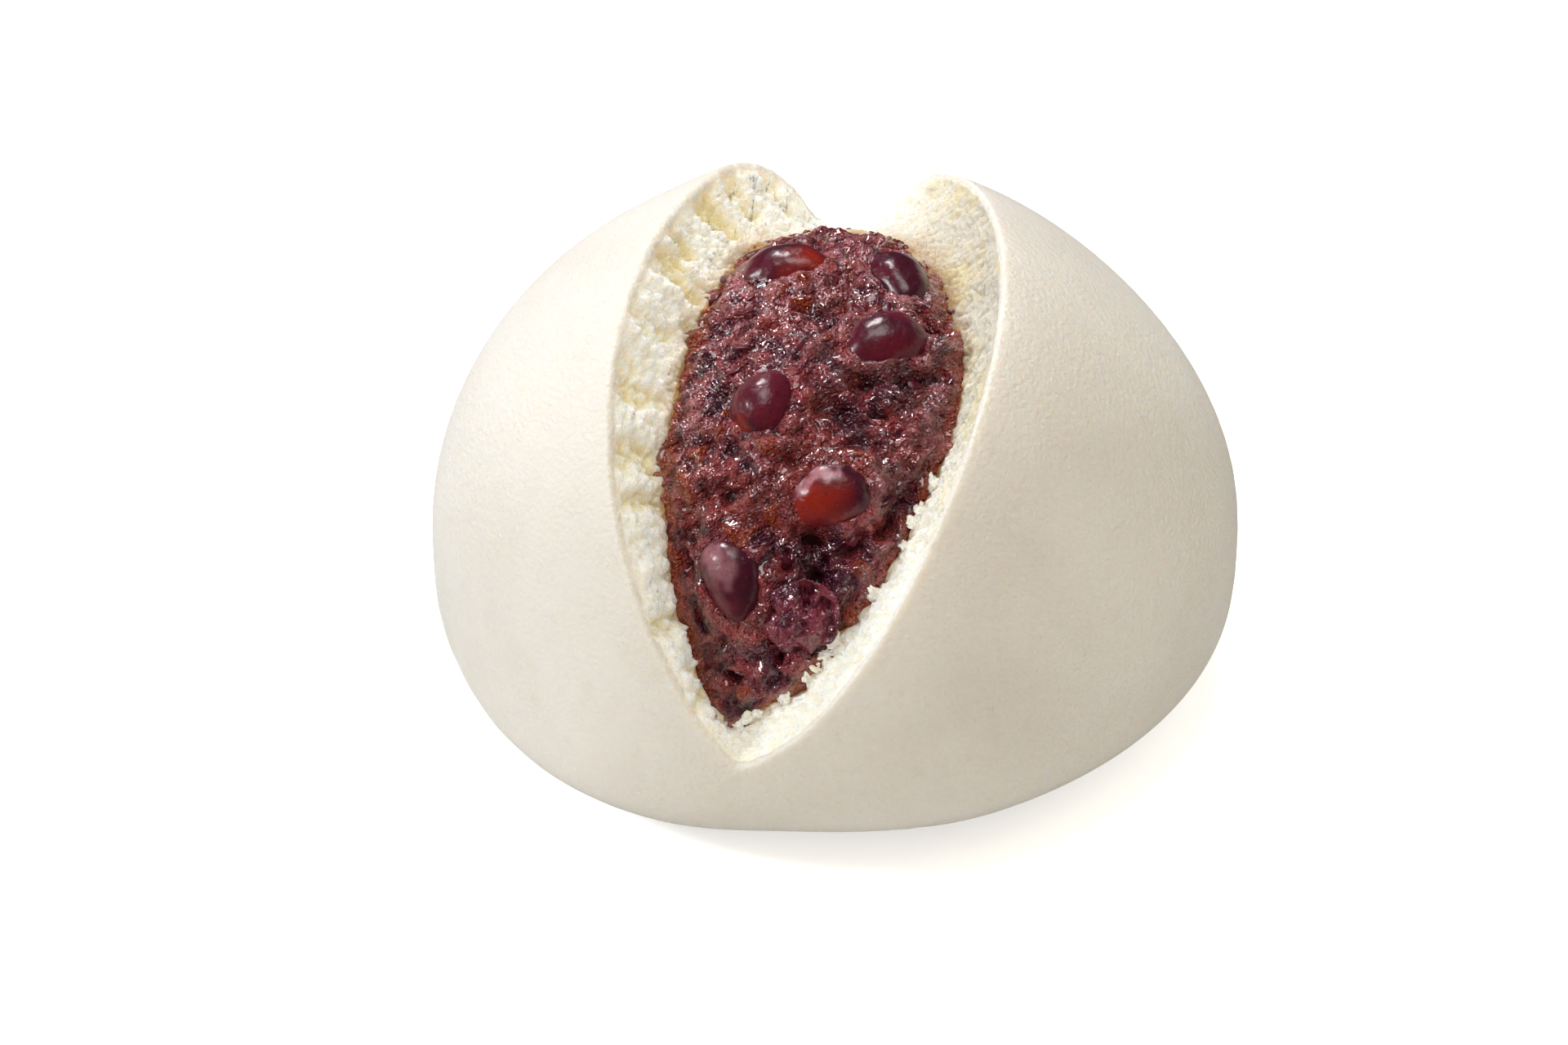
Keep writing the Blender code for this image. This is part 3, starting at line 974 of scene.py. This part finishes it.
def make_speckle_group():
    """Patches of noise on Object coordinates: a mask that is 1 where the noise is high. Noise
    runs long along a streak vector, by the square of its length."""
    tree = bpy.data.node_groups.new("speckle", "ShaderNodeTree")
    for name, value in (("Scale", 500.0), ("Low", 0.5), ("High", 0.6), ("Detail", 2.0)):
        socket = tree.interface.new_socket(name, in_out="INPUT", socket_type="NodeSocketFloat")
        socket.default_value = value
    tree.interface.new_socket("Streak", in_out="INPUT", socket_type="NodeSocketVector")
    tree.interface.new_socket("Mask", in_out="OUTPUT", socket_type="NodeSocketFloat")
    inputs = tree.nodes.new("NodeGroupInput").outputs
    output = tree.nodes.new("NodeGroupOutput")
    place = add_node(tree, "ShaderNodeTexCoord").outputs["Object"]
    along = add_node(tree, "ShaderNodeVectorMath", {"operation": "DOT_PRODUCT"},
                     {0: place, 1: inputs["Streak"]}).outputs["Value"]
    along = add_node(tree, "ShaderNodeVectorMath", {"operation": "SCALE"},
                     {0: inputs["Streak"], "Scale": along}).outputs["Vector"]
    place = add_node(tree, "ShaderNodeVectorMath", {"operation": "SUBTRACT"},
                     {0: place, 1: along}).outputs["Vector"]
    grain = add_node(tree, "ShaderNodeTexNoise", None,
                     {"Vector": place, "Scale": inputs["Scale"], "Detail": inputs["Detail"]})
    mask = remap(tree, grain.outputs["Fac"], inputs["Low"], inputs["High"])
    tree.links.new(mask, output.inputs["Mask"])
    return tree


def speckle(tree, group, scale, low, high, detail=2.0, streak=0.0):
    """The mask of noise at a scale, 0 up to low and 1 from high."""
    new = add_node(tree, "ShaderNodeGroup", {"node_tree": group},
                   {"Scale": scale, "Low": low, "High": high, "Detail": detail,
                    "Streak": STREAK * math.sqrt(streak)})
    return new.outputs["Mask"]


def bumped(tree, height, distance, normal=None):
    sockets = {"Height": height, "Distance": distance, "Strength": 1.0}
    if normal is not None:
        sockets["Normal"] = normal
    return add_node(tree, "ShaderNodeBump", None, sockets).outputs["Normal"]


def dough_material(group, name, depth):
    """Skin and crumb that let light in to a depth, with painted shade and a painted glow on the
    crumb.
    """
    material, tree, shader = new_material(name)
    crumb = masked(tree, "crumb")
    mottle = speckle(tree, group, 55, 0.35, 0.7, 3)
    skin = mix_colour(tree, mottle, *SKIN)
    specks = speckle(tree, group, 600, 0.60, 0.70, 1)
    specks = calculate(tree, "MULTIPLY", specks, SPECK_SHARE)
    skin = mix_colour(tree, specks, skin, SKIN_SPECK)
    torn = mix_colour(tree, speckle(tree, group, 800, 0.38, 0.6, 5), *TORN)
    # Painted shade with a creamy tone on the crumb's upper right wall
    shaded_cream = mix_colour(tree, speckle(tree, group, 170, 0.50, 0.66, 3), *SHADED_CREAM)
    torn = mix_colour(tree, masked(tree, "shaded_cream"), torn, shaded_cream)
    # Painted shade in the crumb's hollows
    torn = mix_colour(tree, masked(tree, "recess_shade"), torn, RECESS_SHADE)
    # Partly a juice stain, partly painted shade along the seam
    soaked_and_shaded = calculate(tree, "MULTIPLY", masked(tree, "soaked_and_shaded"),
                       speckle(tree, group, 160, 0.20, 0.55))
    torn = mix_colour(tree, soaked_and_shaded, torn, JUICE_AND_SHADE)
    tree.links.new(mix_colour(tree, crumb, skin, torn), shader.inputs["Base Color"])
    rough_between(tree, shader, crumb, 0.45, 0.9)
    let_light_in(shader, 1.0, (1.0, 0.8, 0.6), depth)
    # Painted glow: the crumb gives off light in its own colour, less under the painted shade on
    # the upper right wall; the same share sets how deep its fibres are
    glow_and_fibre_share = calculate(tree, "SUBTRACT", crumb, masked(tree, "shaded_cream"))
    tree.links.new(mix_colour(tree, glow_and_fibre_share, (0, 0, 0), torn), shader.inputs["Emission Color"])
    shader.inputs["Specular IOR Level"].default_value = 0.25
    shader.inputs["Emission Strength"].default_value = CRUMB_GLOW
    pores = speckle(tree, group, 700, 0.45, 0.75, 3)
    fibres = speckle(tree, group, 1800, 0.25, 0.75, 3)
    height = calculate(tree, "MULTIPLY", fibres, remap(tree, glow_and_fibre_share, -0.5, 1))
    height = calculate(tree, "ADD", height, calculate(tree, "MULTIPLY", pores, PORE_SHARE))
    tree.links.new(bumped(tree, height, FIBRE_DEPTH), shader.inputs["Normal"])
    return material


def paste_material(group):
    """Wet mash with brown and amber parts, painted shade in patches and crevices, a painted sheen
    on its crests, and small glints.
    """
    material, tree, shader = new_material("bean_paste_look")
    mash = mix_colour(tree, speckle(tree, group, 420, 0.38, 0.62, 4), *MASH)
    brown = calculate(tree, "MULTIPLY", speckle(tree, group, 95, 0.45, 0.65), BROWN_SHARE)
    mash = mix_colour(tree, brown, mash, MASH_BROWN)
    mash = mix_colour(tree, masked(tree, "husk"), mash, MASH_HUSK)
    # Painted shade in patches
    painted_shade = calculate(tree, "MULTIPLY", masked(tree, "painted_shade"), SHADE_SHARE)
    mash = mix_colour(tree, painted_shade, mash, MASH_SHADE)
    stain = calculate(tree, "MULTIPLY", masked(tree, "stain"), AMBER_SHARE)
    mash = mix_colour(tree, stain, mash, MASH_AMBER)
    # Painted sheen on the crests
    painted_sheen = calculate(tree, "MULTIPLY", speckle(tree, group, 520, 0.36, 0.62, 4),
                     masked(tree, "sheen_crest"))
    painted_sheen = calculate(tree, "MULTIPLY", painted_sheen, SHEEN_SHARE)
    mash = mix_colour(tree, painted_sheen, mash, MASH_SHEEN)
    # Painted shade in the crevices
    mash = mix_colour(tree, masked(tree, "crevice_shade"), mash, MASH_CREVICE_SHADE)
    tree.links.new(mash, shader.inputs["Base Color"])
    rough_between(tree, shader, speckle(tree, group, 600, 0.3, 0.7), 0.08, 0.20)
    shader.inputs["Specular IOR Level"].default_value = 0.7
    shader.inputs["Coat Roughness"].default_value = 0.08
    tree.links.new(speckle(tree, group, 350, 0.3, 0.5), shader.inputs["Coat Weight"])
    grain = speckle(tree, group, 1700, 0.1, 0.9, 1, STREAK_SHARE)
    grain = bumped(tree, grain, MASH_GRAIN_DEPTH)
    grit = speckle(tree, group, 3400, 0.1, 0.9, 0)
    tree.links.new(bumped(tree, grit, MASH_GRIT_DEPTH, grain), shader.inputs["Normal"])
    let_light_in(shader, 0.3, (1.0, 0.3, 0.25), 0.8 * MM)
    return material


def bean_material(group):
    """Satin bean skin, with a painted red glow on one side and a painted pale sheen where the
    masks say.
    """
    material, tree, shader = new_material("bean_skin_look")
    base = mix_colour(tree, speckle(tree, group, 170, 0.35, 0.65, 2), *BEAN_SKIN)
    # Painted red glow where the thin skin looks lit from within
    base = mix_colour(tree, masked(tree, "glow"), base, BEAN_GLOW)
    # Painted sheen, pale where the skin looks lit
    base = mix_colour(tree, masked(tree, "bean_sheen"), base, BEAN_SHEEN)
    tree.links.new(base, shader.inputs["Base Color"])
    rough_between(tree, shader, speckle(tree, group, 900, 0.4, 0.7), 0.3, 0.42)
    shader.inputs["Specular IOR Level"].default_value = 0.2
    shader.inputs["Coat Weight"].default_value = 0.5
    shader.inputs["Coat Roughness"].default_value = 0.25
    let_light_in(shader, 0.2, (1.0, 0.12, 0.06), 1.5 * MM)
    dimples = bumped(tree, speckle(tree, group, 1300, 0.3, 0.7, 1), BEAN_DIMPLE_DEPTH)
    pits = speckle(tree, group, 2400, 0.64, 0.70, 1)
    tree.links.new(bumped(tree, pits, BEAN_PIT_DEPTH, dimples), shader.inputs["Normal"])
    return material


def husk_material(group):
    """Wet crumpled bean skin."""
    material, tree, shader = new_material("crushed_husk_look")
    base = mix_colour(tree, speckle(tree, group, 420, 0.35, 0.65, 3), *WET_HUSK)
    tree.links.new(base, shader.inputs["Base Color"])
    rough_between(tree, shader, speckle(tree, group, 900, 0.3, 0.7), 0.1, 0.25)
    shader.inputs["Specular IOR Level"].default_value = 0.8
    shader.inputs["Coat Weight"].default_value = 1.0
    shader.inputs["Coat Roughness"].default_value = 0.1
    grain = speckle(tree, group, 1300, 0.1, 0.9, 1)
    tree.links.new(bumped(tree, grain, HUSK_GRAIN_DEPTH), shader.inputs["Normal"])
    return material


def floor_material():
    """A matt pale floor, lifted to white where the camera sees it."""
    material, tree, shader = new_material("pale_floor")
    shader.inputs["Base Color"].default_value = (0.93, 0.93, 0.93, 1)
    shader.inputs["Roughness"].default_value = 0.9
    seen = add_node(tree, "ShaderNodeLightPath").outputs["Is Camera Ray"]
    glow = mix_colour(tree, seen, (0, 0, 0), (1, 1, 1))
    tree.links.new(glow, shader.inputs["Emission Color"])
    shader.inputs["Emission Strength"].default_value = FLOOR_GLOW
    return material


# Stage: the camera at the photo's angle, and the middle of the photo and of the bun in it

CAMERA_ELEVATION = math.radians(34)
CAMERA_DISTANCE = 0.75
PIXELS_PER_MM = 10.685
PHOTO_WIDTH = 1920
PHOTO_MIDDLE = 960
BUN_MIDDLE = 1022.5
SENSOR = 36.0
NEAR_CLIP = 0.05
FLOOR_HALF = 3.0


def make_floor():
    bm = bmesh.new()
    bmesh.ops.create_grid(bm, x_segments=2, y_segments=2, size=FLOOR_HALF)
    floor = finish_piece("floor", bm)
    floor.data.materials.append(floor_material())
    floor.visible_glossy = False


def make_camera():
    camera = bpy.data.objects.new("camera", bpy.data.cameras.new("camera"))
    bpy.context.scene.collection.objects.link(camera)
    look = Vector((0, math.cos(CAMERA_ELEVATION), -math.sin(CAMERA_ELEVATION)))
    camera.location = Vector(CENTRE) - look * CAMERA_DISTANCE
    camera.rotation_euler = (math.pi / 2 - CAMERA_ELEVATION, 0, 0)
    camera.data.sensor_width = SENSOR
    camera.data.lens = PIXELS_PER_MM * CAMERA_DISTANCE / MM / PHOTO_WIDTH * SENSOR
    camera.data.shift_x = (PHOTO_MIDDLE - BUN_MIDDLE) / PHOTO_WIDTH
    camera.data.clip_start = NEAR_CLIP
    bpy.context.scene.camera = camera


LIGHT_DISTANCE = 1.2
LIGHT_AIM = 0.03
WORLD_STRENGTH = 0.03

# Softboxes: degrees round from the front towards the right, degrees up, size in metres, and
# watts in each colour
SOFTBOXES = {
    "left": (-80, 32, 0.2, (6.5, 6.9, 7.0)),
    "front": (0, 48, 1.8, (7.6, 6.5, 4.8)),
    "back": (200, 50, 0.2, (7.6, 7.3, 7.4)),
    "top": (0, 90, 0.5, (5.2, 5.2, 5.2)),
    "right": (100, 45, 1.0, (3.5, 3.4, 2.8)),
}

# The softboxes that only fill, and are not seen in the wet paste and beans
FILLS = ("front", "right")


def add_softbox(name, around, height, size, watts):
    light = bpy.data.lights.new(name, "AREA")
    light.size = size
    light.energy = max(watts)
    light.color = [watt / max(watts) for watt in watts]
    lamp = bpy.data.objects.new(name, light)
    bpy.context.scene.collection.objects.link(lamp)
    lamp.visible_glossy = name not in FILLS
    a, e = math.radians(around), math.radians(height)
    out = Vector((math.sin(a) * math.cos(e), -math.cos(a) * math.cos(e), math.sin(e)))
    lamp.location = out * LIGHT_DISTANCE
    aim = Vector((0, 0, LIGHT_AIM)) - lamp.location
    lamp.rotation_euler = aim.to_track_quat("-Z", "Y").to_euler()


def make_light():
    world = bpy.data.worlds.new("studio")
    bpy.context.scene.world = world
    world.use_nodes = True
    background = world.node_tree.nodes["Background"]
    background.inputs["Color"].default_value = (1, 1, 1, 1)
    background.inputs["Strength"].default_value = WORLD_STRENGTH
    for name, softbox in SOFTBOXES.items():
        add_softbox(name, *softbox)
    scene = bpy.context.scene
    scene.view_settings.view_transform = "Standard"
    scene.view_settings.look = "None"
    scene.view_settings.exposure = 0
    scene.view_settings.gamma = 1


def dress(piece, material, slot, *nodes):
    """Give a piece its material and body, and hide the CAD nodes that it stands in for; the slot
    is not used.
    """
    piece.data.materials.append(material)
    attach(piece, "root")
    if nodes:
        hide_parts(*nodes)


def main():
    group = make_speckle_group()
    dough = dough_material(group, "steamed_dough_look", 2.0 * MM)
    tuft = dough_material(group, "crumb_tuft_look", 0.4 * MM)
    dress(warped_ball("torn_bun", *dough_grid()), dough, "steamed_dough", "bun_dough")
    points, masks = paste_grid()
    mash = paste_material(group)
    dress(warped_ball("paste", points, masks), mash, "bean_paste", "red_bean_filling")
    skin = bean_material(group)
    for seed, name in enumerate(BEANS):
        dress(make_bean(name, seed), skin, "bean_skin", name)
    dress(make_husk(), husk_material(group), "bean_skin", "bean_husk")
    rng = np.random.default_rng(7)
    dress(make_flakes(points, rng), skin, "bean_skin")
    dress(make_granules(rng), mash, "bean_paste")
    dress(make_tufts(rng), tuft, "steamed_dough")
    make_floor()
    make_camera()
    make_light()


main()
